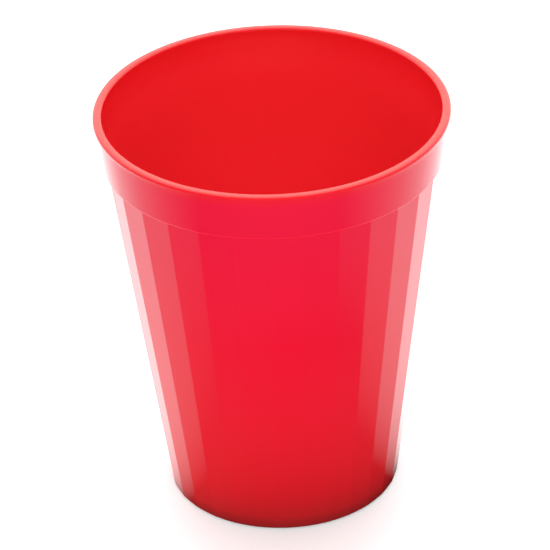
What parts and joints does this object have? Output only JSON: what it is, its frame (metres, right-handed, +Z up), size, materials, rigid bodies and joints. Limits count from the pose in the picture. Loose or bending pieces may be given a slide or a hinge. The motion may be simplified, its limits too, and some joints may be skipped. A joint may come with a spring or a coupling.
{
  "type": "fluted tumbler",
  "caption": "Tapered plastic drinking tumbler with flat-faced flutes, a plain flared band under a rounded lip, and a foot ring.",
  "frame": {"origin": "centre of the foot ring, on the plane that it stands on", "axes": "+Z up along the tumbler's axis, from the foot to the lip"},
  "size_m": [0.0754, 0.0754, 0.0905],
  "materials": {
    "moulded_plastic": "glossy opaque red moulded plastic"
  },
  "bodies": {
    "root": {"tumbler": "moulded_plastic"}
  },
  "joints": []
}
